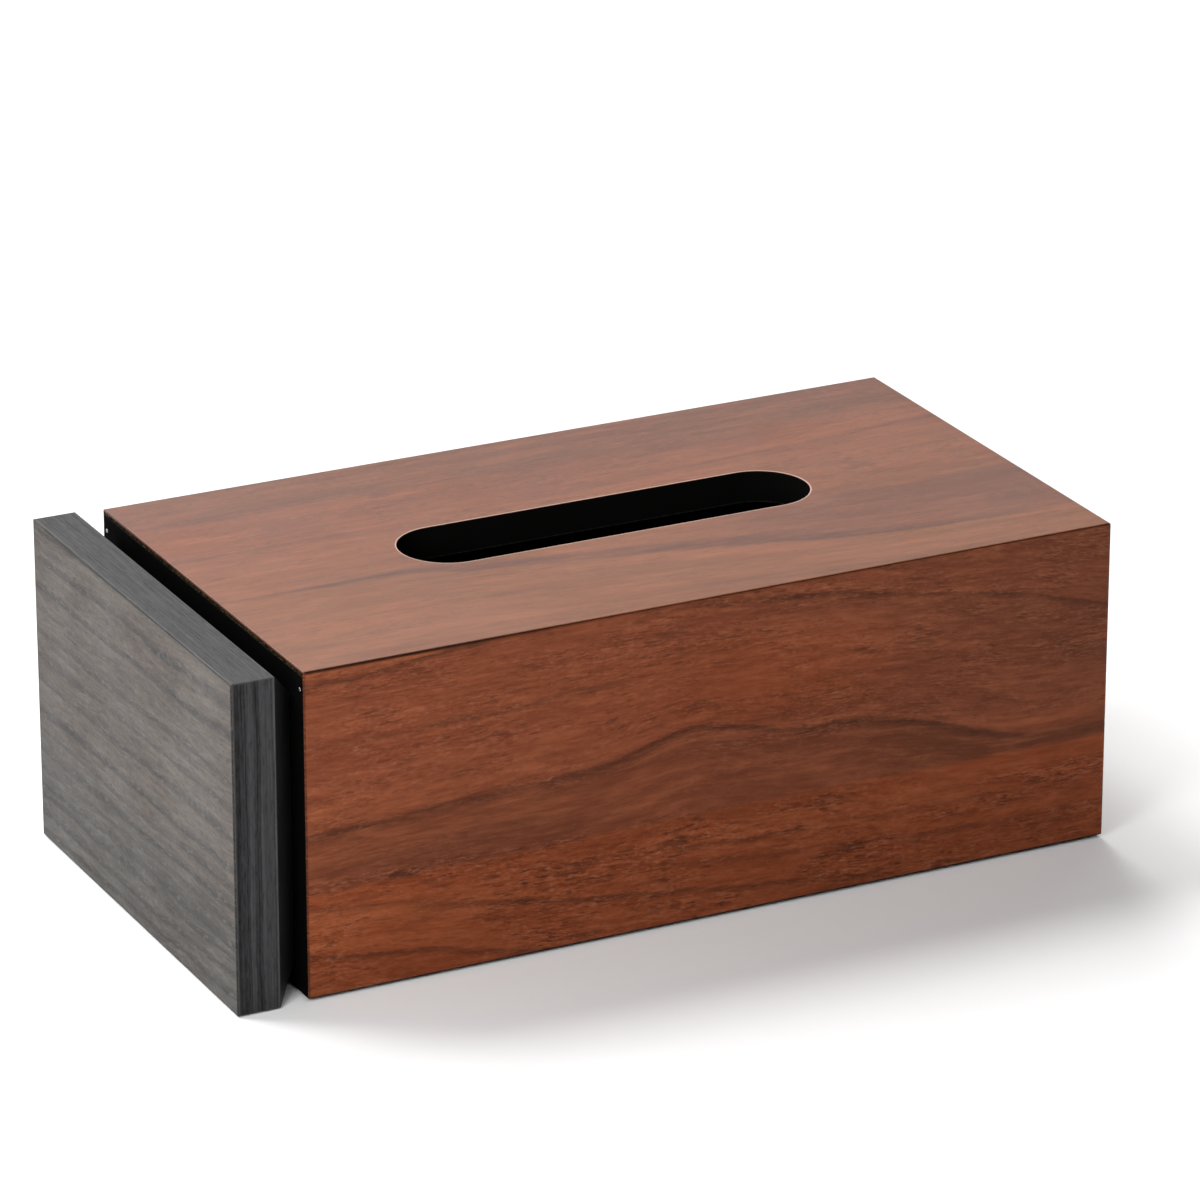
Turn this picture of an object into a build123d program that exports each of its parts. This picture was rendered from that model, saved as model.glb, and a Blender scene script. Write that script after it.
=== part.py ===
from build123d import *
import os

# Tissue box with an end drawer. The case is five boards mitred together and veneered outside, with
# a tissue slot in its top and its left end open. The drawer fills it from that end: a tray with
# finger-jointed corners behind a two-layer front, whose bevelled inner layer makes the finger groove.
#
# Millimetres. +X runs from the drawer front to the closed end, +Y to the far side and +Z up.
# The origin is under the middle of the closed box, on the surface that it stands on.

# Case, over its veneer and without its foot pads
case_length = 235.0
case_width = 130.0
case_height = 90.0
core_thickness = 8.5
veneer_thickness = 0.5
arris_easing = 0.3  # width taken off each face of a long outer arris

# Tissue slot, round at both ends, in the middle of the top
slot_length = 120.0
slot_width = 27.5
slot_rim_easing = 0.3

# Foot pads
pad_diameter = 10.0
pad_thickness = 1.0
pad_inset = 14.0  # from a case side or end to a pad's centre

# Brads in the open end, one in each upright board
brad_diameter = 1.2
brad_length = 10.0
brad_stand_off = 0.15
brad_side_inset = 2.5
brad_top_inset = 5.4

# Drawer front: a grey veneered board on a black backing
front_thickness = 12.0
front_veneer = 0.5
front_side_overhang = 0.2
front_top_overhang = 0.4
front_bottom_overhang = 0.6
backing_thickness = 7.7
closing_lap = 0.8  # the backing's rear face over each edge of the case's opening
closing_gap = 0.3  # between that face and the case, with the drawer shut

# Tray
tray_wall = 5.0
tray_height = 30.0
tray_fingers = 5  # in the height of a corner, an odd number
tray_side_clearance = 0.8
tray_bottom_clearance = 0.3
tray_end_clearance = 3.0
panel_thickness = 3.0
panel_lift = 2.0  # from the walls' lower edge to the bottom panel
groove_depth = 2.5

# Countersunk screws that hold the tray to the drawer front
screw_count = 3
screw_spacing = 36.0
screw_length = 18.0
screw_tip_length = 3.0
screw_diameter = 3.0
screw_head_diameter = 6.0
screw_head_height = 1.8
recess_span = 3.2
recess_width = 0.8
recess_depth = 1.0

# Places that follow from the sizes above
wall = core_thickness + veneer_thickness
total_length = front_thickness + backing_thickness + closing_gap + case_length
front_x = -total_length / 2
backing_x = front_x + front_thickness
tray_x = backing_x + backing_thickness
open_end_x = tray_x + closing_gap
closed_end_x = open_end_x + case_length
case_bottom = pad_thickness
case_top = case_bottom + case_height
front_bottom = case_bottom - front_bottom_overhang
front_top = case_top + front_top_overhang
front_side = case_width / 2 + front_side_overhang
opening_side = case_width / 2 - wall
opening_bottom = case_bottom + wall
opening_top = case_top - wall
tray_side = opening_side - tray_side_clearance
tray_end_x = closed_end_x - wall - tray_end_clearance
tray_bottom_z = opening_bottom + tray_bottom_clearance
tray_top_z = tray_bottom_z + tray_height
panel_bottom_z = tray_bottom_z + panel_lift
panel_top_z = panel_bottom_z + panel_thickness


def box_between(low, high):
    """Box from its lowest corner to its highest."""
    size = [high[i] - low[i] for i in range(3)]
    return Pos(*low) * Box(*size, align=(Align.MIN, Align.MIN, Align.MIN))


def upright_outline(x, half_width, bottom, top):
    """Rectangle square to X, centred across the box."""
    plane = Plane(origin=(x, 0, (bottom + top) / 2), x_dir=(0, 1, 0), z_dir=(1, 0, 0))
    return plane * Rectangle(2 * half_width, top - bottom)


def mitred_layer(length, width, outer_depth, inner_depth, easing=0.0, mitred_start=False):
    """Layer of a board between two depths under the board's outer face, which is up at Z = 0.

    The board runs along +X. Its long edges and far end are cut at 45 degrees, so the outline draws
    in by as much as it goes down. The near end is square unless mitred_start is set. An easing
    flattens the outer arrises to 45 degrees, and two boards share that flat at their mitre.
    """

    def outline(depth, inset):
        start = inset if mitred_start else 0.0
        span = length - inset - start
        return Pos(start + span / 2, 0, -depth) * Rectangle(span, width - 2 * inset)

    outlines = [outline(inner_depth, inner_depth)]
    if easing:
        outlines.append(outline(outer_depth + easing / 2, outer_depth + easing / 2))
        outlines.append(outline(outer_depth, outer_depth + easing))
    else:
        outlines.append(outline(outer_depth, outer_depth))
    return loft(outlines, ruled=True)


def slot_cutter():
    """Tissue slot through the top board and its veneer, with the eased rim, from Z = 0 down."""
    slot = extrude(SlotOverall(slot_length, slot_width), amount=-2 * wall)
    rim_outline = SlotOverall(slot_length + 2 * slot_rim_easing, slot_width + 2 * slot_rim_easing)
    rim = extrude(rim_outline, amount=-slot_rim_easing, taper=45)
    return Pos(case_length / 2, 0, 0) * (slot + rim)


def brad():
    """Brad with a rounded head, along -Z from its head at the origin."""
    blank = Cylinder(brad_diameter / 2, brad_length, align=(Align.CENTER, Align.CENTER, Align.MAX))
    head_edge = blank.edges().sort_by(Axis.Z)[-1]
    return fillet(head_edge, brad_diameter / 4)


def screw_blank():
    """Countersunk wood screw without its recess, along -Z from its head's flat at the origin."""
    outline = Polyline(
        (0, 0),
        (screw_head_diameter / 2, 0),
        (screw_diameter / 2, -screw_head_height),
        (screw_diameter / 2, screw_tip_length - screw_length),
        (0, -screw_length),
        close=True,
    )
    return revolve(Plane.XZ * make_face(outline), Axis.Z)


def cross_recess():
    """Cross that a driver fits, cut down from Z = 0."""
    down = (Align.CENTER, Align.CENTER, Align.MAX)
    bar = Box(recess_span, recess_width, recess_depth, align=down)
    return bar + Rot(0, 0, 90) * bar


def case_planes():
    """Outer face of each case board: its origin at the board's start, X along the board, Z out."""
    middle_z = (case_bottom + case_top) / 2
    along = (1, 0, 0)
    return {
        "top": Plane(origin=(open_end_x, 0, case_top), x_dir=along, z_dir=(0, 0, 1)),
        "bottom": Plane(origin=(open_end_x, 0, case_bottom), x_dir=along, z_dir=(0, 0, -1)),
        "near": Plane(origin=(open_end_x, -case_width / 2, middle_z), x_dir=along, z_dir=(0, -1, 0)),
        "far": Plane(origin=(open_end_x, case_width / 2, middle_z), x_dir=along, z_dir=(0, 1, 0)),
        "end": Plane(origin=(closed_end_x, 0, case_bottom), x_dir=(0, 0, 1), z_dir=(1, 0, 0)),
    }


def make_case():
    """The five boards, their four veneers, the brads and the foot pads."""
    planes = case_planes()
    spans = {
        "top": (case_length, case_width),
        "near": (case_length, case_height),
        "far": (case_length, case_height),
        "end": (case_height, case_width),
    }
    pieces = {}
    for side, (length, width) in spans.items():
        ends = side == "end"
        core = mitred_layer(length, width, veneer_thickness, wall, mitred_start=ends)
        skin = mitred_layer(length, width, 0.0, veneer_thickness, arris_easing, mitred_start=ends)
        if side == "top":
            core -= slot_cutter()
            skin -= slot_cutter()
        pieces[f"case_{side}_board"] = planes[side] * core
        pieces[f"{side}_veneer"] = planes[side] * skin
    bottom = mitred_layer(case_length, case_width, 0.0, wall, arris_easing)
    pieces["case_bottom_board"] = planes["bottom"] * bottom

    brads = []
    for side, sign in (("near", -1), ("far", 1)):
        centre = (
            open_end_x - brad_stand_off,
            sign * (case_width / 2 - brad_side_inset),
            case_top - brad_top_inset,
        )
        placed = Plane(origin=centre, z_dir=(-1, 0, 0)) * brad()
        pieces[f"case_{side}_board"] -= placed
        brads.append(placed)
    pieces["corner_brads"] = Compound(brads)

    pad_y = case_width / 2 - pad_inset
    pad_xs = (open_end_x + pad_inset, closed_end_x - pad_inset)
    pad = Cylinder(pad_diameter / 2, pad_thickness, align=(Align.CENTER, Align.CENTER, Align.MIN))
    pieces["foot_pads"] = Compound([Pos(x, y, 0) * pad for x in pad_xs for y in (-pad_y, pad_y)])
    return pieces


def make_front_layers():
    """The grey board: its core, the bands on its four edges and the veneer over its face."""
    core_x = front_x + front_veneer
    core_side = front_side - front_veneer
    core_bottom = front_bottom + front_veneer
    core_top = front_top - front_veneer
    pieces = {
        "front_core": ((core_x, -core_side, core_bottom), (backing_x, core_side, core_top)),
        "front_face_veneer": ((front_x, -front_side, front_bottom), (core_x, front_side, front_top)),
        "front_top_band": ((core_x, -core_side, core_top), (backing_x, core_side, front_top)),
        "front_bottom_band": ((core_x, -core_side, front_bottom), (backing_x, core_side, core_bottom)),
        "front_near_band": ((core_x, -front_side, front_bottom), (backing_x, -core_side, front_top)),
        "front_far_band": ((core_x, core_side, front_bottom), (backing_x, front_side, front_top)),
    }
    return {name: box_between(low, high) for name, (low, high) in pieces.items()}


def make_backing():
    """Black board whose bevelled edges lead from the front's outline to just over the opening."""
    wide = upright_outline(backing_x, front_side, front_bottom, front_top)
    narrow = upright_outline(
        tray_x,
        opening_side + closing_lap,
        opening_bottom - closing_lap,
        opening_top + closing_lap,
    )
    return loft([wide, narrow], ruled=True)


def corner_fingers(x_low, side_sign):
    """The finger blocks of one tray corner that belong to the end wall, every second one."""
    finger = tray_height / tray_fingers
    inner_side = tray_side - tray_wall
    y_low, y_high = sorted((side_sign * inner_side, side_sign * tray_side))
    blocks = []
    for row in range(1, tray_fingers, 2):
        low_z = tray_bottom_z + row * finger
        blocks.append(box_between((x_low, y_low, low_z), (x_low + tray_wall, y_high, low_z + finger)))
    return blocks


def make_tray():
    """Four finger-jointed walls around a bottom panel that stands in grooves in all of them."""
    inner_side = tray_side - tray_wall
    wall_xs = {"front": tray_x, "back": tray_end_x - tray_wall}
    panel = box_between(
        (tray_x + tray_wall - groove_depth, -inner_side - groove_depth, panel_bottom_z),
        (tray_end_x - tray_wall + groove_depth, inner_side + groove_depth, panel_top_z),
    )
    pieces = {"tray_bottom": panel}
    for name, x_low in wall_xs.items():
        low = (x_low, -inner_side, tray_bottom_z)
        end_wall = box_between(low, (x_low + tray_wall, inner_side, tray_top_z))
        for sign in (-1, 1):
            end_wall += corner_fingers(x_low, sign)
        pieces[f"tray_{name}"] = end_wall - panel
    for name, sign in (("near", -1), ("far", 1)):
        y_low, y_high = sorted((sign * inner_side, sign * tray_side))
        side_wall = box_between((tray_x, y_low, tray_bottom_z), (tray_end_x, y_high, tray_top_z))
        for x_low in wall_xs.values():
            side_wall -= corner_fingers(x_low, sign)
        pieces[f"tray_{name}_side"] = side_wall - panel
    return pieces


def make_drawer():
    """The front, the tray and the screws that join them from inside the tray."""
    pieces = make_front_layers() | make_tray()
    pieces["front_backing"] = make_backing()
    screw_z = (panel_top_z + tray_top_z) / 2
    screws = []
    for number in range(screw_count):
        screw_y = (number - (screw_count - 1) / 2) * screw_spacing
        head = Plane(origin=(tray_x + tray_wall, screw_y, screw_z), x_dir=(0, 1, 0), z_dir=(1, 0, 0))
        for name in ("tray_front", "front_backing", "front_core"):
            pieces[name] -= head * screw_blank()
        screws.append(head * (screw_blank() - cross_recess()))
    pieces["front_screws"] = Compound(screws)
    return pieces


def main():
    os.makedirs("parts", exist_ok=True)
    for name, piece in (make_case() | make_drawer()).items():
        export_step(piece, f"parts/{name}.step")


main()
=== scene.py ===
"""Looks of a tissue box with an end drawer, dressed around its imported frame.

The case is black fibreboard under walnut veneer, and the drawer front is a grey stained board on a
bevelled black one. Every veneer is modelled again here with softened arrises, because their thin
bright and dark lines are what the eye reads as real joinery. Lengths are metres unless a name ends
in _mm, and each piece lies where the frame has it.
"""

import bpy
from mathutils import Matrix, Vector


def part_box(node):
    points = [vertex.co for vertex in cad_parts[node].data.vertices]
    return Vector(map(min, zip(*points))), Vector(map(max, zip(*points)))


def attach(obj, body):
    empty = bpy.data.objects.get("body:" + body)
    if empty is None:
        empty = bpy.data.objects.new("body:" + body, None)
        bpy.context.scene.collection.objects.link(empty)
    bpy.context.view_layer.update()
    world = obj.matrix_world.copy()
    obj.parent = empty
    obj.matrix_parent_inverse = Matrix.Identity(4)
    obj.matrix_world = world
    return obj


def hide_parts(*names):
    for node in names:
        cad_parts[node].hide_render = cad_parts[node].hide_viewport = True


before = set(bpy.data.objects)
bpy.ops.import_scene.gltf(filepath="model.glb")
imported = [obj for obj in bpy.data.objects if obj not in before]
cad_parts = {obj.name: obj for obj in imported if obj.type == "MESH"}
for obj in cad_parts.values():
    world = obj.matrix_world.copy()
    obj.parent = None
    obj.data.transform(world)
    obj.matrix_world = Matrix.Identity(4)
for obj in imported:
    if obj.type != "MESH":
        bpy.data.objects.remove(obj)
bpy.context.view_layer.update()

import logging
import math
from collections.abc import Iterable, Sequence
from dataclasses import dataclass, field
from enum import Enum
from functools import partial, reduce

import bmesh
import bpy
import numpy as np
from mathutils import Vector

log = logging.getLogger("tissue_box")

MM = 0.001
MITRE = 1.0  # a side that draws in as much as it goes deep
MERGE_DISTANCE = 1e-7
SMALLEST_EDGE = 1e-8
SHARP_ANGLE = math.radians(35.0)
ARRIS_STEPS = 6  # points on a quarter circle
DISC_SIDES = 40

Colour = tuple[float, float, float]
Route = tuple[tuple[float, float], ...]  # places in millimetres, each with a drop or strength there
Socket = bpy.types.NodeSocket
Feed = Socket | float | Sequence[float]
Sources = Iterable[tuple[int | str, Feed]]
Coat = tuple[Feed, Feed, Feed]  # colour, polish near a half and height


class Facing(Enum):
    """The way a plate's outer face looks, as its length, width and outward directions."""

    UP = ((1, 0, 0), (0, 1, 0), (0, 0, 1))
    DOWN = ((1, 0, 0), (0, -1, 0), (0, 0, -1))
    NEAR = ((1, 0, 0), (0, 0, 1), (0, -1, 0))
    FAR = ((-1, 0, 0), (0, 0, 1), (0, 1, 0))
    LEFT = ((0, -1, 0), (0, 0, 1), (-1, 0, 0))
    RIGHT = ((0, 1, 0), (0, 0, 1), (1, 0, 0))

    @property
    def axes(self) -> np.ndarray:
        """The three directions as the rows of a matrix."""
        return np.array(self.value, float)


class Tone(Enum):
    """What a band of a walnut figure does to the wood's colour."""

    LINE = "line"
    DUSK = "dusk"
    WARM = "warm"
    GLOW = "glow"


# ---------------------------------------------------------------------------------------------
# Surfaces
# ---------------------------------------------------------------------------------------------


def rounded_rectangle(
    low: np.ndarray, high: np.ndarray, radius: float, counts: tuple[int, int, int]
) -> np.ndarray:
    """Walk round a rectangle whose corners are quarter circles.

    Each corner is centre + radius * (cos a, sin a) over its own quarter turn, and each side is the
    straight line from one corner's last point to the next one's first.

    Args:
        low: Lowest corner of the rectangle, in its own plane.
        high: Highest corner.
        radius: Corner radius.
        counts: Points inside a side along the first direction, inside another side, on a corner.

    Returns:
        The loop as an (n, 2) array, anticlockwise from the right-hand side.
    """
    signs = np.array([(1, 1), (-1, 1), (-1, -1), (1, -1)])
    centres = np.where(signs > 0, high - radius, low + radius)
    turn = np.linspace(0.0, np.pi / 2, counts[2])[None, :] + np.arange(4)[:, None] * np.pi / 2
    arcs = centres[:, None, :] + radius * np.stack([np.cos(turn), np.sin(turn)], axis=-1)
    loop = []
    for corner in range(4):
        share = np.linspace(0.0, 1.0, counts[corner % 2] + 2)[1:-1, None]
        start, end = arcs[corner][-1], arcs[(corner + 1) % 4][0]
        loop += [arcs[corner], start + share * (end - start)]
    return np.concatenate(loop)


def circle_inset(depth: float, radius: float) -> float:
    """Distance that a rounded arris draws in at a depth: r - sqrt(r^2 - (r - depth)^2)."""
    rise = min(max(radius - depth, 0.0), radius)
    return radius - math.sqrt(radius**2 - rise**2)


def arris_depths(radius: float) -> np.ndarray:
    """Depths of the points on a rounded arris, from its start on the face to its end."""
    return radius * (1.0 - np.cos(np.linspace(0.0, np.pi / 2, ARRIS_STEPS)))


def link(name: str, mesh: bpy.types.Mesh) -> bpy.types.Object:
    """Make an object of a mesh.

    Args:
        name: Name of the new object.
        mesh: Its mesh.

    Returns:
        The object, linked to the scene.
    """
    piece = bpy.data.objects.new(name, mesh)
    bpy.context.scene.collection.objects.link(piece)
    return piece


def skin(
    name: str, loops: np.ndarray, masks: dict[str, np.ndarray], closed: bool = False
) -> bpy.types.Object:
    """Skin a stack of loops that all have the same number of points.

    Args:
        name: Name of the new object.
        loops: The loops as a (k, n, 3) array in the row frame.
        masks: Values for each loop, kept as the mesh's attributes.
        closed: True if the last loop joins the first.

    Returns:
        The object, linked to the scene.
    """
    count, around = loops.shape[:2]
    index = np.arange(count * around).reshape(count, around)
    if closed:
        index = np.vstack([index, index[:1]])
    right = np.roll(index, -1, axis=1)
    quads = np.stack([index[:-1], right[:-1], right[1:], index[1:]], axis=-1).reshape(-1, 4)
    mesh = bpy.data.meshes.new(name)
    mesh.from_pydata(loops.reshape(-1, 3), [], quads)
    for key, values in masks.items():
        mask = mesh.attributes.new(key, "FLOAT", "POINT")
        mask.data.foreach_set("value", np.repeat(values, around))
    work = bmesh.new()
    work.from_mesh(mesh)
    bmesh.ops.remove_doubles(work, verts=work.verts, dist=MERGE_DISTANCE)
    bmesh.ops.dissolve_degenerate(work, edges=work.edges, dist=SMALLEST_EDGE)
    bmesh.ops.recalc_face_normals(work, faces=work.faces)
    work.to_mesh(mesh)
    work.free()
    mesh.polygons.foreach_set("use_smooth", np.ones(len(mesh.polygons), bool))
    mesh.set_sharp_from_angle(angle=SHARP_ANGLE)
    return link(name, mesh)


@dataclass(frozen=True)
class Plate:
    """A thin board that stands for one node, with its arrises softened.

    A profile is carried round the plate's outline: across the outer face, round the arris, down
    the side and back under the plate. Each side may also lean in with the depth.
    """

    node: str
    facing: Facing
    arris: float = 0.2 * MM
    rear_arris: float = 0.0
    leans: tuple[float, float, float, float] = (0.0, 0.0, 0.0, 0.0)  # low ends, then high ends
    corner: float = 0.05 * MM
    counts: tuple[int, int, int] = (9, 5, 4)
    support: tuple[float, ...] = (0.35 * MM, 1.1 * MM)

    def span(self) -> tuple[np.ndarray, np.ndarray]:
        """Lowest and highest corner of the node in the plate's own directions."""
        corners = np.array([self.facing.axes @ np.array(point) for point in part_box(self.node)])
        return corners.min(axis=0), corners.max(axis=0)

    @property
    def thickness(self) -> float:
        """Distance from the outer face to the rear one."""
        low, high = self.span()
        return float(high[2] - low[2])

    def loop(self, depth: float, extra: float) -> np.ndarray:
        """One loop round the plate.

        On each side, inset = max(arris circle, lean * depth) + rear arris circle + extra.

        Args:
            depth: Depth under the outer face.
            extra: Distance further in from the side, for loops on the two faces.

        Returns:
            The loop in the plate's own directions, as an (n, 3) array.
        """
        low, high = self.span()
        draw = np.maximum(circle_inset(depth, self.arris), np.array(self.leans) * depth)
        draw += circle_inset(self.thickness - depth, self.rear_arris) if self.rear_arris else 0.0
        middle = (low[:2] + high[:2]) / 2
        start = np.minimum(low[:2] + draw[:2] + extra, middle)
        end = np.maximum(high[:2] - draw[2:] - extra, middle)
        radius = min(self.corner, float(min(end - start)) / 2)
        points = rounded_rectangle(start, end, radius, self.counts)
        return np.column_stack([points, np.full(len(points), high[2] - depth)])

    def side_depths(self) -> np.ndarray:
        """Depths of the loops down the side, closest together on the arrises."""
        rear = self.thickness - arris_depths(self.rear_arris) if self.rear_arris else [self.thickness]
        return np.unique(np.concatenate([arris_depths(self.arris), rear]).round(9))

    def stand_in(
        self, name: str, loops: Sequence[np.ndarray], masks: dict[str, np.ndarray], closed: bool = False
    ) -> bpy.types.Object:
        """Skin the loops and let the piece replace the node.

        Args:
            name: Name of the new object.
            loops: The loops in the plate's own directions.
            masks: Values for each loop.
            closed: True if the last loop joins the first.

        Returns:
            The object.
        """
        piece = skin(name, np.array(loops) @ self.facing.axes, masks, closed)
        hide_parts(self.node)
        return piece

    def build(self, name: str) -> bpy.types.Object:
        """Make the plate's mesh.

        Args:
            name: Name of the new object.

        Returns:
            The object, which replaces the node.
        """
        low, high = self.span()
        reach = float(min(high[:2] - low[:2])) / 2
        extras = np.array([*self.support, reach * 0.5, reach])
        extras = extras[extras <= reach]
        depths = self.side_depths()
        under = [self.loop(self.thickness, extra) for extra in extras[::-1]]
        side = [self.loop(depth, 0.0) for depth in depths[::-1]]
        outer = [self.loop(0.0, extra) for extra in extras]
        worn = np.zeros(len(under) + len(side) + len(outer))
        worn[len(under) : len(under) + len(side)] = depths[::-1] <= self.arris * 1.01
        return self.stand_in(name, under + side + outer, {"arris": worn})


@dataclass(frozen=True)
class SlottedPlate(Plate):
    """A plate with a round-ended slot, whose rim is softened as the outer arrises are."""

    slot_length: float = 120.0 * MM
    slot_width: float = 27.5 * MM
    rim: float = 0.14 * MM
    counts: tuple[int, int, int] = (24, 0, 22)

    def slot_loop(self, depth: float, extra: float) -> np.ndarray:
        """One loop round the slot.

        Args:
            depth: Depth under the outer face.
            extra: Distance out from the slot's wall, for loops on the face.

        Returns:
            The loop in the plate's own directions, as an (n, 3) array.
        """
        low, high = self.span()
        middle = (low[:2] + high[:2]) / 2
        half = np.array([self.slot_length, self.slot_width]) / 2 + circle_inset(depth, self.rim) + extra
        points = rounded_rectangle(middle - half, middle + half, half[1], self.counts)
        return np.column_stack([points, np.full(len(points), high[2] - depth)])

    def build(self, name: str) -> bpy.types.Object:
        """Make the mesh: a ring whose profile runs from the outer side over the face to the slot.

        Args:
            name: Name of the new object.

        Returns:
            The object, which replaces the node.
        """
        outer_depths = self.side_depths()[::-1]
        rim_depths = np.append(arris_depths(self.rim), self.thickness)
        outer = [self.loop(depth, 0.0) for depth in outer_depths]
        outer += [self.loop(0.0, extra) for extra in self.support]
        slot = [self.slot_loop(0.0, extra) for extra in self.support[::-1]]
        slot += [self.slot_loop(depth, 0.0) for depth in rim_depths]
        shares = np.array([0.15, 0.4, 0.7, 0.9])[:, None, None]
        across = list(outer[-1] + shares * (slot[0] - outer[-1]))
        loops = outer + across + slot
        worn, rim, stain = (np.zeros(len(loops)) for _ in range(3))
        worn[1 : len(outer_depths)] = 1.0
        stain[-len(rim_depths) :] = np.minimum(rim_depths / self.rim, 1.0)
        rim[-len(rim_depths) :] = 1.0 - stain[-len(rim_depths) :]
        return self.stand_in(name, loops, {"arris": worn, "rim": rim, "stain": stain}, True)


def turned_discs(
    name: str, centres: np.ndarray, radius: float, height: float, edge: float
) -> bpy.types.Object:
    """Flat discs with rounded edges, each a profile turned about its own upright axis.

    The profile is r(t), z(t): out along the bottom, round a quarter circle, up the side, round
    another quarter circle and in along the top. A point is (r cos a, r sin a, z).

    Args:
        name: Name of the new object.
        centres: Middles of the discs' undersides, as an (n, 3) array.
        radius: Outer radius.
        height: Thickness.
        edge: Radius of the rounded edges.

    Returns:
        One object that holds all the discs.
    """
    bend = np.linspace(0.0, np.pi / 2, ARRIS_STEPS)
    out, rise = edge * np.sin(bend), edge * np.cos(bend)
    profile_r = np.concatenate([[0.0], radius - edge + out, radius - edge + rise, [0.0]])
    profile_z = np.concatenate([[0.0], edge - rise, height - edge + out, [height]])
    angle = np.linspace(0.0, 2 * np.pi, DISC_SIDES, endpoint=False)
    ring = np.stack([np.cos(angle), np.sin(angle), np.zeros(DISC_SIDES)], axis=-1)
    disc = profile_r[:, None, None] * ring + profile_z[:, None, None] * np.array([0.0, 0.0, 1.0])
    merged = bmesh.new()
    for centre in centres:
        part = skin(f"{name}_part", disc + centre, {})
        merged.from_mesh(part.data)
        bpy.data.objects.remove(part)
    mesh = bpy.data.meshes.new(name)
    merged.to_mesh(mesh)
    merged.free()
    return link(name, mesh)


# ---------------------------------------------------------------------------------------------
# Materials
# ---------------------------------------------------------------------------------------------


class Graph:
    """Short calls that add nodes to one node tree and join them up."""

    def __init__(self, tree: bpy.types.NodeTree) -> None:
        """Keep the tree that the nodes go into."""
        self.tree = tree

    def feed(self, target: Socket, source: Feed) -> None:
        """Link a socket to another one, or set its value.

        Args:
            target: The socket that is fed.
            source: What feeds it: a socket, a number, a vector or a colour.
        """
        if isinstance(source, bpy.types.NodeSocket):
            self.tree.links.new(source, target)
        elif isinstance(source, (int, float)) or target.type == "VECTOR":
            target.default_value = source
        else:
            target.default_value = (*source[:3], 1.0)

    def node(self, kind: str, sources: Sources = (), **settings: object) -> bpy.types.NodeOutputs:
        """Add a node, set its properties and feed its inputs.

        Args:
            kind: Which shader node.
            sources: Number or name of each input that is fed, with what feeds it.
            settings: The node's properties.

        Returns:
            The node's outputs.
        """
        made = self.tree.nodes.new(f"ShaderNode{kind}")
        for key, value in settings.items():
            setattr(made, key, value)
        for place, source in sources:
            self.feed(made.inputs[place], source)
        return made.outputs

    def math(self, operation: str, first: Feed, second: Feed = 0.0) -> Socket:
        """One Math node."""
        return self.node("Math", enumerate((first, second)), operation=operation)[0]

    def product(self, *factors: Feed) -> Feed:
        """Product of one or more numbers."""
        return reduce(lambda total, factor: self.math("MULTIPLY", total, factor), factors)

    def weigh(self, *terms: tuple[Feed, float]) -> Feed:
        """Weighted sum.

        Args:
            terms: The numbers, each with its weight.

        Returns:
            The sum.
        """
        total: Feed = 0.0
        for term in terms:
            total = self.node("Math", enumerate((*term, total)), operation="MULTIPLY_ADD")[0]
        return total

    def combine(self, x: Feed, y: Feed, z: Feed) -> Socket:
        """Vector from three numbers."""
        return self.node("CombineXYZ", enumerate((x, y, z)))[0]

    def split(self, vector: Socket) -> bpy.types.NodeOutputs:
        """A vector's three numbers, by the names of their axes."""
        return self.node("SeparateXYZ", ((0, vector),))

    def place(self, output: str = "Object") -> Socket:
        """The point's place on the object, or another of its coordinates."""
        return self.node("TexCoord")[output]

    def noise(self, vector: Feed, scale: Feed, detail: float = 2.0, roughness: float = 0.5) -> Socket:
        """Value of a noise texture."""
        sources = {"Vector": vector, "Scale": scale, "Detail": detail, "Roughness": roughness}
        return self.node("TexNoise", sources.items())["Fac"]

    def grain_noise(self, along: Feed, down: Feed, seed: Feed, size: tuple[float, float]) -> Socket:
        """Noise whose marks have a length along the grain and a width across it."""
        vector = self.combine(self.math("DIVIDE", along, size[0]), self.math("DIVIDE", down, size[1]), seed)
        return self.noise(vector, 1.0, 3.0, 0.6)

    def remap(self, value: Feed, low: Feed, high: Feed, to_low: Feed = 0.0, to_high: Feed = 1.0) -> Socket:
        """Smooth step from one range to another."""
        sources = enumerate((value, low, high, to_low, to_high))
        return self.node("MapRange", sources, interpolation_type="SMOOTHSTEP")["Result"]

    def mix(self, factor: Feed, first: Feed, second: Feed) -> Socket:
        """Blend of two colours."""
        sources = ((0, factor), (6, first), (7, second))
        return self.node("Mix", sources, data_type="RGBA", clamp_factor=True)[2]

    def tint(self, colour: Feed, target: Feed, *factors: Feed) -> Socket:
        """Colour moved towards another one by the product of the factors."""
        return self.mix(self.product(*factors), colour, target)

    def blend(self, factor: Feed, first: Feed, second: Feed) -> Socket:
        """Blend of two numbers."""
        sources = ((0, factor), (2, first), (3, second))
        return self.node("Mix", sources, data_type="FLOAT", clamp_factor=True)[0]

    def curve(
        self, value: Feed, route: Route, span: float, height: float = 1.0, straight: bool = False
    ) -> Socket:
        """Curve through a route's points.

        Args:
            value: Place along the route.
            route: The points, as places and values.
            span: Last place on the route.
            height: Largest value that the route can have.
            straight: True for straight lines between the points.

        Returns:
            The value at the place.
        """
        made = self.tree.nodes.new("ShaderNodeFloatCurve")
        line = made.mapping.curves[0]
        points = [(x / span, y / height) for x, y in route]
        line.points[0].location, line.points[1].location = points[0], points[-1]
        for point in points[1:-1]:
            line.points.new(*point)
        for point in line.points:
            point.handle_type = "VECTOR" if straight else "AUTO_CLAMPED"
        made.mapping.update()
        self.feed(made.inputs["Value"], self.math("DIVIDE", value, span))
        return self.math("MULTIPLY", made.outputs["Value"], height)

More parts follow.
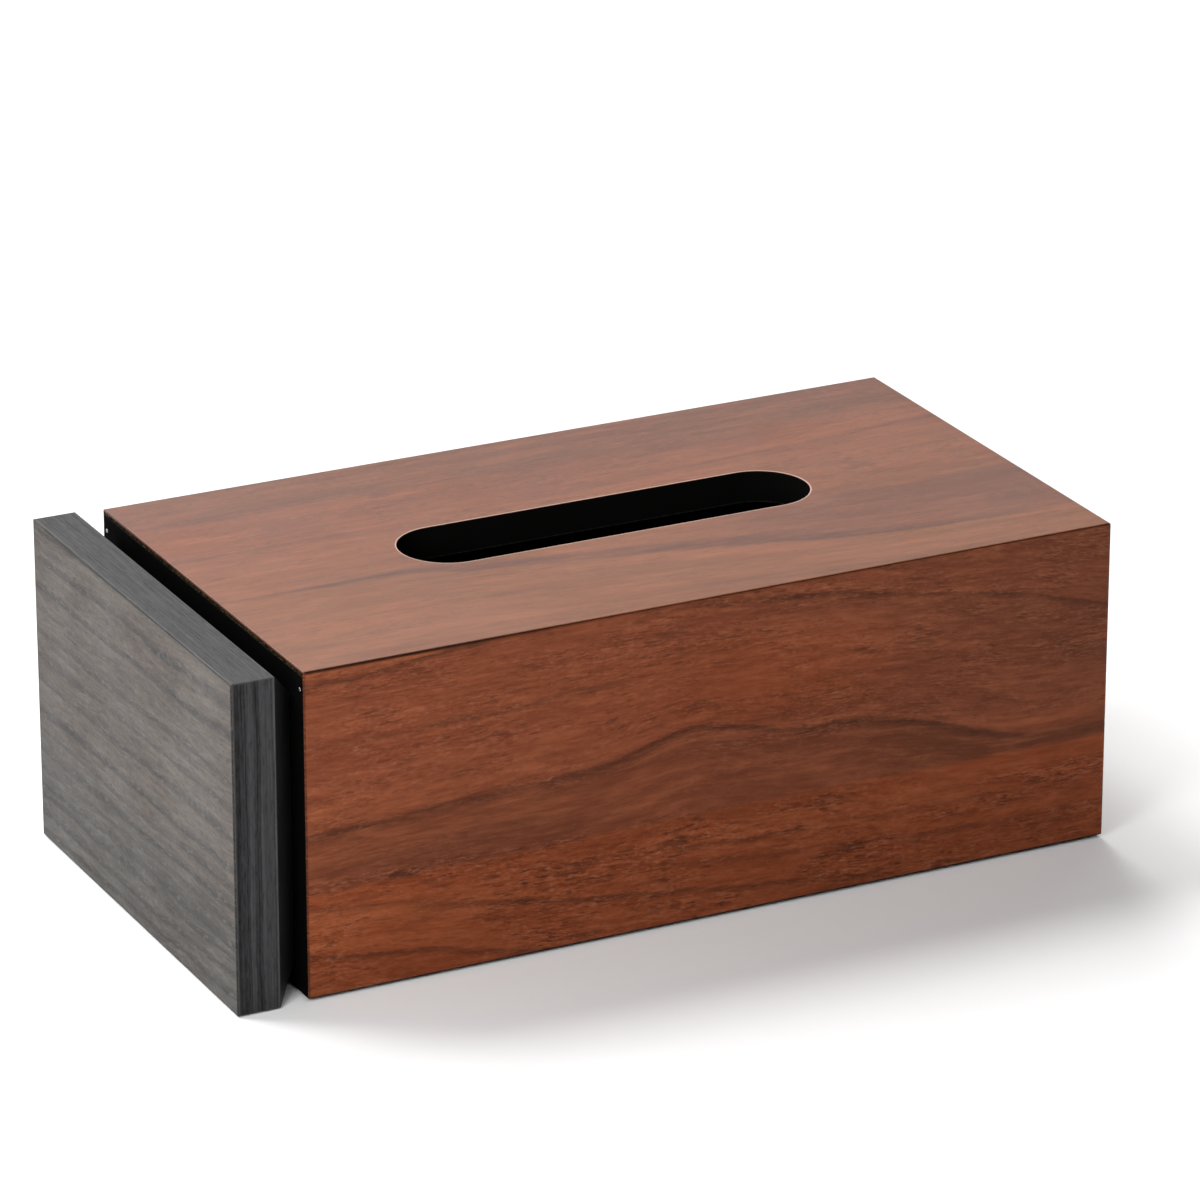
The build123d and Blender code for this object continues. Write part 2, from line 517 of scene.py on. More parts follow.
    def swing(self, grain: bpy.types.NodeOutputs, weights: dict[str, float]) -> Feed:
        """Weighted sum of grain values, moved so that it swings about nought."""
        terms = [(grain[key], weight) for key, weight in weights.items()]
        return self.weigh(*terms, (1.0, -0.5 * sum(weights.values())))

    def mask(self, name: str) -> Socket:
        """Value that a piece's mesh carries under a name."""
        return self.node("Attribute", attribute_name=name)["Fac"]

    def group(self, tree: bpy.types.NodeTree, **sources: Feed) -> bpy.types.NodeOutputs:
        """Place a shared group and feed its sockets by name."""
        return self.node("Group", sources.items(), node_tree=tree)


class SharedGroups:
    """Node groups that more than one finish uses, each built once."""

    marks_mm = {  # length and width of one mark
        "Drift": (90.0, 22.0),
        "Bands": (60.0, 5.0),
        "Streaks": (12.0, 1.6),
        "Fibres": (4.5, 0.6),
        "Dashes": (1.6, 0.44),
        "Mottle": (1.2, 1.1),
        "Pores": (4.2, 0.80),
        "Flecks": (3.2, 0.75),
        "Smears": (10.0, 2.4),
    }
    scattered = ("Pores", "Flecks", "Smears")
    cut = (0.55, 0.66)  # noise at which a scattered mark sets in and is full
    apart = 3.7  # between the noises' seeds

    def __init__(self) -> None:
        """Build every group."""
        self.streaks = self.build_streaks()
        self.band = self.build_band()
        self.surface = self.build_surface()

    @staticmethod
    def start(
        name: str, inputs: dict[str, float], outputs: Iterable[str]
    ) -> tuple[Graph, dict[str, Socket], bpy.types.NodeInputs]:
        """Make an empty group with its named sockets.

        Args:
            name: Name of the group.
            inputs: Its inputs and their default values.
            outputs: Names of its outputs.

        Returns:
            The group's graph, its inputs by name and the sockets of its outputs.
        """
        tree = bpy.data.node_groups.new(name, "ShaderNodeTree")
        for key, value in inputs.items():
            socket = tree.interface.new_socket(key, in_out="INPUT", socket_type="NodeSocketFloat")
            socket.default_value = value
        for key in outputs:
            tree.interface.new_socket(key, in_out="OUTPUT", socket_type="NodeSocketFloat")
        given = tree.nodes.new("NodeGroupInput").outputs
        made = tree.nodes.new("NodeGroupOutput").inputs
        return Graph(tree), {key: given[key] for key in inputs}, made

    def build_streaks(self) -> bpy.types.NodeTree:
        """Wood grain at nine scales, from Along and Level in millimetres.

        Each output is a noise whose space is squeezed along the grain: drift is the board's slow
        change of tone, bands are growth zones, streaks, fibres and dashes are ever finer, mottle
        is the cross fleck, and pores, flecks and smears are the short dark vessels, the short bright
        rays and the soft dark smears, each a noise cut off above a level.

        Returns:
            The group.
        """
        inputs = {"Along": 0.0, "Level": 0.0, "Seed": 0.0}
        graph, given, made = self.start("wood_streaks", inputs, self.marks_mm)
        for number, (name, size) in enumerate(self.marks_mm.items()):
            seed = graph.math("ADD", given["Seed"], self.apart * number)
            value = graph.grain_noise(given["Along"], given["Level"], seed, size)
            graph.feed(made[name], graph.remap(value, *self.cut) if name in self.scattered else value)
        return graph.tree

    def build_band(self) -> bpy.types.NodeTree:
        """One band of a figure: it sets in over one distance and fades over another.

        With u the distance below its upper edge and l the distance below its lower one, the mask is
        smoothstep(u, -above, above) * (1 - smoothstep(l, -below, below)) * strength.

        Returns:
            The group.
        """
        inputs = {"Upper": 0.0, "Lower": 0.0, "Above": 0.3, "Below": 0.3, "Strength": 1.0}
        graph, given, made = self.start("figure_band", inputs, ("Mask",))
        above, below = given["Above"], given["Below"]
        begun = graph.remap(given["Upper"], graph.math("MULTIPLY", above, -1.0), above)
        ended = graph.remap(given["Lower"], graph.math("MULTIPLY", below, -1.0), below, 1.0, 0.0)
        graph.feed(made["Mask"], graph.product(begun, ended, given["Strength"]))
        return graph.tree

    def build_surface(self) -> bpy.types.NodeTree:
        """Handling marks: Smudge is a slow cloudy value, and Speck a few fine dots.

        Returns:
            The group.
        """
        graph, given, made = self.start("handled_surface", {"Size": 0.03, "Seed": 0.0}, ("Smudge", "Speck"))
        moved = graph.combine(given["Seed"], 0.0, 0.0)
        place = graph.node("VectorMath", enumerate((graph.place(), moved)), operation="ADD")[0]
        graph.feed(made["Smudge"], graph.noise(place, graph.math("DIVIDE", 1.0, given["Size"]), 3.0, 0.6))
        graph.feed(made["Speck"], graph.remap(graph.noise(place, 900.0, 1.0, 0.4), 0.74, 0.8))
        return graph.tree


@dataclass(frozen=True)
class GrainAxes:
    """Where a veneer's grain runs: along one axis from a start, and down another from a start."""

    along: str
    along_start: float
    down: str
    down_start: float
    down_sign: float = -1.0
    along_sign: float = 1.0

    def coordinates(self, graph: Graph) -> tuple[Socket, Socket]:
        """Measure each point on the veneer.

        Args:
            graph: The material's graph.

        Returns:
            Distances along the grain and across it, in millimetres.
        """
        split = graph.split(graph.place())
        along = graph.math("SUBTRACT", split[self.along], self.along_start)
        down = graph.math("SUBTRACT", split[self.down], self.down_start)
        return graph.product(along, self.along_sign / MM), graph.product(down, self.down_sign / MM)


@dataclass(frozen=True)
class Band:
    """A stretch of a walnut figure between an upper and a lower edge that run along the veneer."""

    tone: Tone
    amount: float
    upper: Route
    lower: Route | float = 0.7  # its lower edge, or its width
    soft_mm: tuple[float, float] = (0.35, 0.35)
    fade: Route = ((0.0, 1.0), (300.0, 1.0))
    guides: bool = False  # True if the finer grain runs along it

    def mask(self, graph: Graph, groups: SharedGroups, along: Socket, drop: Socket, upper: Socket) -> Socket:
        """How far each place is inside the band.

        Args:
            graph: The material's graph.
            groups: The shared node groups.
            along: Distance along the grain.
            drop: Distance across the grain, made a little ragged.
            upper: Drop of the upper edge.

        Returns:
            The mask, from 0 to the band's amount.
        """
        if isinstance(self.lower, float):
            lower = graph.math("ADD", upper, self.lower)
        else:
            lower = graph.curve(along, self.lower, self.upper[-1][0], Figure.tallest_mm)
        fade = graph.curve(along, self.fade, self.fade[-1][0], straight=True)
        return graph.group(
            groups.band,
            Upper=graph.math("SUBTRACT", drop, upper),
            Lower=graph.math("SUBTRACT", drop, lower),
            Above=self.soft_mm[0],
            Below=self.soft_mm[1],
            Strength=graph.math("MULTIPLY", fade, self.amount),
        )["Mask"]


@dataclass(frozen=True)
class Figure:
    """The bands drawn on one veneer, the broad ones first."""

    bands: tuple[Band, ...]
    unrest: Route = ((0.0, 1.0), (150.0, 1.0))  # how lively the fine grain is down the veneer
    flow = 0.45  # share of the guiding bands' bends that the finer grain takes
    tallest_mm = 150.0

    def routes(self, graph: Graph, along: Socket) -> list[Socket]:
        """Drop of every band's upper edge at each place along the veneer."""
        return [graph.curve(along, band.upper, band.upper[-1][0], self.tallest_mm) for band in self.bands]

    def level(self, graph: Graph, drop: Socket, routes: Sequence[Socket]) -> Feed:
        """Take the flow of the guiding bands out of the drop, so that streaks run along them.

        Between two of them the shift goes smoothly from one's to the next one's.

        Args:
            graph: The material's graph.
            drop: Distance across the grain.
            routes: Drop of every band's upper edge.

        Returns:
            The level.
        """
        guides = [(band, route) for band, route in zip(self.bands, routes) if band.guides]
        means = [sum(y for _, y in band.upper) / len(band.upper) for band, _ in guides]
        shifts = [graph.math("SUBTRACT", route, mean) for (_, route), mean in zip(guides, means)]
        shift = shifts[0]
        for upper, lower, following in zip(means, means[1:], shifts[1:]):
            shift = graph.blend(graph.remap(drop, upper, lower), shift, following)
        return graph.weigh((drop, 1.0), (shift, -self.flow))


@dataclass(frozen=True)
class Finish:
    """What every finish shares, and how it becomes a material."""

    seed: float = 0.0
    roughness: tuple[float, float] = (0.5, 0.62)
    specular: float = 0.4
    ior: float = 1.5
    sheen_colour: Colour = (1.0, 1.0, 1.0)  # of reflections seen square on
    metallic: float = 0.0
    fuzz: float = 0.0
    relief: float = 0.25
    relief_depth: float = 0.06 * MM
    smudge_size: float = 0.04

    def smudge(self, graph: Graph, groups: SharedGroups) -> Socket:
        """Slow cloudy value of the marks that handling leaves."""
        return graph.group(groups.surface, Size=self.smudge_size, Seed=self.seed)["Smudge"]

    def coat(self, graph: Graph, groups: SharedGroups, *pattern: GrainAxes | Figure) -> Coat:
        """Colour, polish and relief over the surface, which each finish works out for itself."""
        raise NotImplementedError

    def material(self, name: str, groups: SharedGroups, *pattern: GrainAxes | Figure) -> bpy.types.Material:
        """Build the finish's material.

        Args:
            name: Name of the material.
            groups: The shared node groups.
            pattern: How the grain lies on the piece and the figure drawn on it, if the finish has them.

        Returns:
            The material.
        """
        made = bpy.data.materials.new(name)
        made.use_nodes = True
        graph = Graph(made.node_tree)
        colour, polish, height = self.coat(graph, groups, *pattern)
        bump = {"Strength": self.relief, "Distance": self.relief_depth, "Height": height}
        for key, source in (
            ("Base Color", colour),
            ("Roughness", graph.remap(polish, 0.3, 0.7, *self.roughness)),
            ("Normal", graph.node("Bump", bump.items())["Normal"]),
            ("Specular IOR Level", self.specular),
            ("IOR", self.ior),
            ("Specular Tint", self.sheen_colour),
            ("Metallic", self.metallic),
            ("Sheen Weight", self.fuzz),
        ):
            graph.feed(graph.tree.nodes["Principled BSDF"].inputs[key], source)
        return made


@dataclass(frozen=True)
class WalnutVeneer(Finish):
    """Satin walnut: reddish brown, with growth lines, darker zones and warm streaks."""

    ground: Colour = (0.163, 0.0460, 0.0214)
    tones: dict[Tone, Colour] = field(
        default_factory=lambda: {
            Tone.LINE: (0.032, 0.013, 0.008),
            Tone.DUSK: (0.112, 0.0365, 0.0185),
            Tone.WARM: (0.190, 0.0450, 0.0155),
            Tone.GLOW: (0.30, 0.090, 0.035),
        }
    )
    pale: Colour = (0.42, 0.130, 0.058)
    deep: Colour = (0.020, 0.001, 0.0)
    fleck: Colour = (0.38, 0.160, 0.095)
    slow_pull: tuple[float, float] = (0.45, -0.62)  # of the broad streaks, to the pale and deep colours
    fast_pull: tuple[float, float] = (0.44, -0.60)  # of the fine grain, to the fleck's and the deep one
    # pale slot rim: partly the veneer's raw cut edge, partly a painted highlight
    raw_edge_and_highlight: Colour = (0.80, 0.58, 0.48)
    open_edge: Colour = (0.030, 0.012, 0.008)  # the arris at the case's open end
    marked_mm: float = 1.5  # how far down the veneer its arris shows glue
    glued: Route = ((0.0, 0.85), (38.0, 0.85), (85.0, 0.25), (130.0, 0.12), (300.0, 0.12))
    glue: Colour = (0.02, 0.007, 0.004)
    stain: Colour = (0.004, 0.004, 0.004)
    roughness: tuple[float, float] = (0.36, 0.46)
    specular: float = 0.5
    ior: float = 1.36
    sheen_colour: Colour = (0.75, 0.2, 0.07)
    smudge_size: float = 0.045
    wobble_mm: tuple[float, float] = (9.0, 5.0)  # length and width of the bends in the bands' edges
    nick_mm: tuple[float, float] = (3.5, 0.8)  # of the nicks in them
    crowd_mm: tuple[float, float] = (24.0, 7.0)  # of the patches where fine marks crowd
    scattered: tuple[tuple[str, float], ...] = (("Smears", 0.26), ("Flecks", 0.12), ("Pores", 0.34))
    opening_mm: tuple[float, float] = (0.25, 0.6)  # where the arris of the open end stops
    slow: float = 1.1  # strength of the broad streaks
    streaky: float = 1.7  # share in it of the narrowest ones
    fast: float = 1.0  # and of the fine grain

    def coat(self, graph: Graph, groups: SharedGroups, axes: GrainAxes, figure: Figure) -> Coat:
        """Work out one veneer: its figure, then its grain, then its edges.

        Args:
            graph: The material's graph.
            groups: The shared node groups.
            axes: How the grain lies on the piece.
            figure: The bands drawn on it.

        Returns:
            The colour, polish and height.
        """
        along, drop = axes.coordinates(graph)
        routes = figure.routes(graph, along)
        level = figure.level(graph, drop, routes)
        grain = graph.group(groups.streaks, Along=along, Level=level, Seed=self.seed)
        wobble = graph.grain_noise(along, drop, self.seed + 1.3, self.wobble_mm)
        nicks = graph.grain_noise(along, drop, self.seed + 2.1, self.nick_mm)
        ragged = graph.weigh((drop, 1.0), (wobble, 2.2), (nicks, 1.0), (1.0, -1.6))
        broken = graph.remap(grain["Fibres"], 0.3, 0.55, 0.45, 1.0)
        colour: Feed = self.ground
        for band, route in zip(figure.bands, routes):
            mask = band.mask(graph, groups, along, ragged, route)
            factors = (mask, broken) if band.tone is Tone.LINE else (mask,)
            colour = graph.tint(colour, self.tones[band.tone], *factors)
        crowd = graph.grain_noise(along, level, self.seed + 5.5, self.crowd_mm)
        lively = graph.curve(level, figure.unrest, figure.unrest[-1][0], 2.0)
        unrest = graph.product(lively, graph.remap(crowd, 0.36, 0.64, 0.45, 1.55), self.fast)
        broad = graph.swing(grain, {"Bands": 1.0, "Drift": 0.6, "Streaks": self.streaky})
        fine = graph.swing(grain, {"Fibres": 1.0, "Dashes": 0.8, "Mottle": 0.5})
        swings = ((broad, self.slow, self.pale, self.slow_pull), (fine, unrest, self.fleck, self.fast_pull))
        for swing, strength, light, pull in swings:
            swing = graph.math("MULTIPLY", swing, strength)
            for target, weight in zip((light, self.deep), pull):
                colour = graph.tint(colour, target, swing, weight)
        for key, weight in self.scattered:
            target = self.fleck if key == "Flecks" else self.tones[Tone.LINE]
            colour = graph.tint(colour, target, grain[key], unrest, weight)
        # the slot rim's pale line is partly raw cut edge and partly a painted highlight
        colour = graph.tint(colour, self.raw_edge_and_highlight, graph.mask("rim"), 0.7)
        colour = graph.tint(colour, self.stain, graph.mask("stain"))
        opening = graph.remap(along, *self.opening_mm, 1.0, 0.0)
        nicked = graph.product(opening, graph.remap(nicks, 0.35, 0.6, 0.35, 0.85))
        glued = graph.curve(along, self.glued, self.glued[-1][0], straight=True)
        glued = graph.product(glued, graph.remap(drop, self.marked_mm, self.marked_mm + 1.0, 1.0, 0.0))
        marked = graph.blend(opening, graph.math("MAXIMUM", nicked, glued), nicked)
        edge = graph.mix(opening, self.glue, self.open_edge)
        colour = graph.tint(colour, edge, graph.mask("arris"), marked)
        polish = graph.weigh((self.smudge(graph, groups), 0.6), (grain["Fibres"], 0.4))
        return colour, polish, graph.weigh((grain["Dashes"], 0.5), (grain["Pores"], -1.0))


@dataclass(frozen=True)
class GreyVeneer(Finish):
    """Grey stained open-grained veneer: uneven dark growth stripes with short ticks along them."""

    upper: Colour = (0.070, 0.056, 0.047)
    lower: Colour = (0.053, 0.0465, 0.0415)
    dark: Colour = (0.017, 0.016, 0.0155)
    tick: Colour = (0.20, 0.187, 0.173)
    edge: Colour = (0.007, 0.007, 0.007)
    roughness: tuple[float, float] = (0.5, 0.66)
    specular: float = 0.35
    relief: float = 0.35
    relief_depth: float = 0.12 * MM
    seed: float = 11.0
    sway_mm: tuple[float, float] = (60.0, 13.0)  # length and width of the stripes' bends
    nick_mm: tuple[float, float] = (7.0, 1.2)
    rise: float = 0.026  # how much the stripes climb along the board
    change_mm: tuple[float, float] = (56.0, 68.0)  # drops between which the upper colour becomes the lower
    height_mm: float = 95.0
    stripes_mm: Route = (  # drop and darkness of each stripe at the start of the board
        (2.0, 0.9), (10.4, 0.75), (18.6, 0.8), (24.6, 0.25), (31.0, 0.6), (38.4, 0.65), (45.6, 0.75),
        (54.6, 0.9), (60.3, 0.6), (65.8, 0.85), (70.6, 0.5), (75.9, 0.75), (79.4, 0.7), (84.4, 0.8),
        (89.8, 0.9),
    )

    def stripe_route(self) -> Route:
        """Work out the darkness down the board: each stripe comes on softly and ends sharply.

        Returns:
            The darkness at places down the board.
        """
        points = [(0.0, 0.0)]
        for drop, darkness in self.stripes_mm:
            points += [(drop - 2.4, 0.0), (drop - 0.8, darkness), (drop, darkness), (drop + 0.6, 0.0)]
        return tuple([*(point for point in points if point[0] >= 0.0), (self.height_mm, 0.0)])

    def coat(self, graph: Graph, groups: SharedGroups, axes: GrainAxes) -> Coat:
        """Work out the face: its stripes, then its grain and ticks, then its arris.

        Args:
            graph: The material's graph.
            groups: The shared node groups.
            axes: How the grain lies on the piece.

        Returns:
            The colour, polish and height.
        """
        along, drop = axes.coordinates(graph)
        sway = graph.grain_noise(along, drop, self.seed, self.sway_mm)
        nicks = graph.grain_noise(along, drop, self.seed + 5.0, self.nick_mm)
        level = graph.weigh((drop, 1.0), (along, self.rise), (sway, 7.0), (nicks, 1.6), (1.0, -4.3))
        grain = graph.group(groups.streaks, Along=along, Level=level, Seed=self.seed)
        stripes = graph.curve(level, self.stripe_route(), self.height_mm, straight=True)
        stripes = graph.product(stripes, graph.remap(grain["Streaks"], 0.28, 0.6, 0.35, 1.0))
        colour = graph.mix(graph.remap(drop, *self.change_mm), self.upper, self.lower)
        weights = {"Bands": 1.0, "Streaks": 1.9, "Fibres": 1.4, "Dashes": 0.9, "Mottle": 0.5}
        swing = graph.swing(grain, weights)
        near_stripe = graph.remap(stripes, 0.0, 0.5, 0.35, 1.0)
        for target, *factors in (
            (self.dark, stripes, 1.1),
            (self.tick, swing, 0.40),
            (self.dark, swing, -1.1),
            (self.tick, grain["Flecks"], near_stripe, 0.25),
            (self.dark, grain["Pores"], near_stripe, 0.7),
            (self.edge, graph.mask("arris"), graph.remap(nicks, 0.3, 0.6, 0.5, 1.0)),
        ):
            colour = graph.tint(colour, target, *factors)
        height = graph.weigh((grain["Fibres"], 0.5), (stripes, -0.6), (grain["Pores"], -1.0))
        return colour, self.smudge(graph, groups), height


@dataclass(frozen=True)
class BandVeneer(Finish):
    """Charcoal edge band with straight stripes along its length."""

    light: Colour = (0.088, 0.086, 0.086)
    dark: Colour = (0.003, 0.003, 0.0033)
    roughness: tuple[float, float] = (0.42, 0.55)
    specular: float = 0.1
    seed: float = 23.0
    sway_mm: tuple[float, float] = (45.0, 6.0)  # length and width of the stripes' bends
    stripe_mm: tuple[float, float] = (90.0, 0.55)
    brightness: Route = ((0.0, 0.42), (12.0, 0.42))  # across the band, from the board's rear

    def coat(self, graph: Graph, groups: SharedGroups, axes: GrainAxes) -> Coat:
        """Work out the band's stripes and its paler arris.

        Args:
            graph: The material's graph.
            groups: The shared node groups.
            axes: How the grain lies on the piece.

        Returns:
            The colour, polish and height.
        """
        along, drop = axes.coordinates(graph)
        sway = graph.grain_noise(along, drop, self.seed + 9.0, self.sway_mm)
        level = graph.weigh((drop, 1.0), (sway, 1.6), (1.0, -0.8))
        grain = graph.group(groups.streaks, Along=along, Level=level, Seed=self.seed)
        stripes = graph.grain_noise(along, level, self.seed + 4.0, self.stripe_mm)
        share = graph.curve(level, self.brightness, self.brightness[-1][0])
        terms = ((share, 0.8), (stripes, 1.05), (grain["Fibres"], 0.5), (grain["Dashes"], 0.3), (1.0, -0.84))
        colour = graph.mix(graph.weigh(*terms), self.dark, self.light)
        colour = graph.tint(colour, self.dark, grain["Pores"], 0.35)
        colour = graph.tint(colour, self.light, graph.mask("arris"), 0.45)
        return colour, grain["Streaks"], graph.weigh((stripes, 0.8), (grain["Fibres"], 0.4))


@dataclass(frozen=True)
class BlackPaint(Finish):
    """Satin black paint over board, a little uneven, with specks and paler sawn ends."""

    base: Colour = (0.0035, 0.0035, 0.004)
    rubbed: Colour = (0.0058, 0.0058, 0.0064)
    dust: Colour = (0.05, 0.05, 0.048)
    sawn: Colour = (0.017, 0.0165, 0.016)
    roughness: tuple[float, float] = (0.5, 0.66)
    specular: float = 0.25
    seed: float = 31.0
    smudge_size: float = 0.028
    grit_scale: float = 1400.0
    sawn_axis: str = ""  # the way the board runs, so that its two ends are sawn

    def coat(self, graph: Graph, groups: SharedGroups) -> Coat:
        """Work out the paint, and the sawn ends of a board that has them.

        Args:
            graph: The material's graph.
            groups: The shared node groups.

        Returns:
            The colour, polish and height.
        """
        marks = graph.group(groups.surface, Size=self.smudge_size, Seed=self.seed)
        grit = graph.noise(graph.place(), self.grit_scale, 3.0, 0.6)
        colour = graph.mix(graph.remap(marks["Smudge"], 0.25, 0.8), self.base, self.rubbed)
        colour = graph.tint(colour, self.dust, marks["Speck"], 0.35)
        if self.sawn_axis:
            facing = graph.math("ABSOLUTE", graph.split(graph.place("Normal"))[self.sawn_axis])
            ends = graph.remap(facing, 0.6, 0.9)
            colour = graph.tint(colour, self.sawn, ends, graph.remap(grit, 0.3, 0.7, 0.3, 1.0))
        return colour, marks["Smudge"], grit


@dataclass(frozen=True)
class FibreEdge(Finish):
    """Black stained fibreboard; its open end is darker as painted shade, with a paler ragged strip under the
    top veneer that is partly exposed fibre, partly painted light.
    """

    # taken by the end faces at the open end: darker than the rest, as painted shade in the groove behind the
    # drawer front
    base: Colour = (0.0010, 0.0010, 0.0010)
    fibre: Colour = (0.0030, 0.0028, 0.0026)
    inner: Colour = (0.0040, 0.0038, 0.0036)
    # painted highlight along the lower arris round the slot
    lip: Colour = (0.030, 0.029, 0.028)
    # strip under the top veneer: partly exposed fibre, partly painted light where the groove's top is lit
    exposed_fibre_and_light: Colour = (0.15, 0.115, 0.065)
    roughness: tuple[float, float] = (0.8, 0.95)
    specular: float = 0.02
    relief: float = 0.6
    relief_depth: float = 0.12 * MM
    seed: float = 41.0
    smudge_size: float = 0.01
    coarse_scale: float = 500.0
    fine_scale: float = 2400.0
    strip_top: float = 0.0
    strip_start: float = 0.0
    strip_mm: tuple[float, float] = (0.75, 1.75)
    lip_z: float = -1.0  # height of the top board's underside, whose arris round the slot carries a painted highlight

    def coat(self, graph: Graph, groups: SharedGroups) -> Coat:
        """Work out the board: darker at the open end as painted shade, with a painted highlight on the lip
        and the strip of exposed fibre and painted light.

        Args:
            graph: The material's graph.
            groups: The shared node groups.

        Returns:
            The colour, polish and height.
        """
        split = graph.split(graph.place())
        depth = graph.math("DIVIDE", graph.math("SUBTRACT", self.strip_top, split["Z"]), MM)
        coarse = graph.noise(graph.place(), self.coarse_scale, 3.0, 0.7)
        fine = graph.noise(graph.place(), self.fine_scale, 3.0, 0.7)
        ragged = graph.weigh((depth, 1.0), (coarse, 1.4), (1.0, -0.7))
        outside = graph.remap(split["X"], self.strip_start, self.strip_start + 0.1 * MM, 1.0, 0.0)
        top, bottom = self.strip_mm
        strip = (
            graph.remap(ragged, top - 0.15, top + 0.1),
            graph.remap(ragged, bottom - 0.4, bottom, 1.0, 0.0),
            graph.remap(fine, 0.48, 0.66),
            graph.remap(coarse, 0.40, 0.55, 0.25, 1.0),
            outside,
        )
        # painted highlight: a pale line just above the top board's underside
        lip = (
            graph.remap(split["Z"], self.lip_z + 0.15 * MM, self.lip_z + 0.45 * MM, 1.0, 0.0),
            graph.remap(split["Z"], self.lip_z - 0.1 * MM, self.lip_z, 0.0, 0.8),
            graph.remap(coarse, 0.35, 0.6, 0.3, 1.0),
        )
        # painted shade: the end faces at the open end take the darker base
        colour = graph.tint(graph.tint(self.inner, self.lip, *lip), self.base, outside)
        colour = graph.tint(colour, self.fibre, graph.remap(fine, 0.35, 0.75))
        # paler strip at the open end: partly exposed fibre, partly painted light
        colour = graph.tint(colour, self.exposed_fibre_and_light, *strip)
        return colour, self.smudge(graph, groups), graph.math("ADD", coarse, fine)


@dataclass(frozen=True)
class BrightSteel(Finish):
    """Bright wire steel with a few dull patches."""

    base: Colour = (0.46, 0.46, 0.47)
    dull: Colour = (0.30, 0.29, 0.28)
    roughness: tuple[float, float] = (0.25, 0.45)
    metallic: float = 1.0
    relief_depth: float = 0.01 * MM
    seed: float = 5.0
    smudge_size: float = 0.002
    grit_scale: float = 3000.0

    def coat(self, graph: Graph, groups: SharedGroups) -> Coat:
        """Work out the steel, which is duller where it is smudged.

        Args:
            graph: The material's graph.
            groups: The shared node groups.

        Returns:
            The colour, polish and height.
        """
        smudge = self.smudge(graph, groups)
        colour = graph.mix(graph.remap(smudge, 0.4, 0.7), self.base, self.dull)
        return colour, smudge, graph.noise(graph.place(), self.grit_scale)


@dataclass(frozen=True)
class PressedFelt(Finish):
    """Black pressed felt, matt and fuzzy."""

    base: Colour = (0.010, 0.010, 0.010)
    lint: Colour = (0.045, 0.044, 0.043)
    roughness: tuple[float, float] = (0.9, 1.0)
    fuzz: float = 0.3
    relief: float = 0.8
    relief_depth: float = 0.15 * MM
    seed: float = 7.0
    smudge_size: float = 0.004
    lint_scale: float = 2600.0

    def coat(self, graph: Graph, groups: SharedGroups) -> Coat:
        """Work out the felt, with pale lint on it.

        Args:
            graph: The material's graph.
            groups: The shared node groups.

        Returns:
            The colour, polish and height.
        """
        lint = graph.noise(graph.place(), self.lint_scale, 4.0, 0.75)
        colour = graph.mix(graph.remap(lint, 0.45, 0.75), self.base, self.lint)
        return colour, self.smudge(graph, groups), lint


# ---------------------------------------------------------------------------------------------
# The walnut figures
# ---------------------------------------------------------------------------------------------

# Places are millimetres from the start of the grain, and drops millimetres from the veneer's far or
# upper edge. A band has an amount, the drops of its upper edge, those of its lower edge or its width,
# how softly each edge sets in, and how strong it is at places along it.


def growth_line(
    amount: float,
    upper: Route,
    fade: Route,
    width: float = 1.2,
    soft_mm: tuple[float, float] = (0.5, 1.6),
    guides: bool = False,
) -> Band:
    """Thin dark band that fades downwards, as the end of a year's growth does."""
    return Band(Tone.LINE, amount, upper, width, soft_mm, fade, guides)


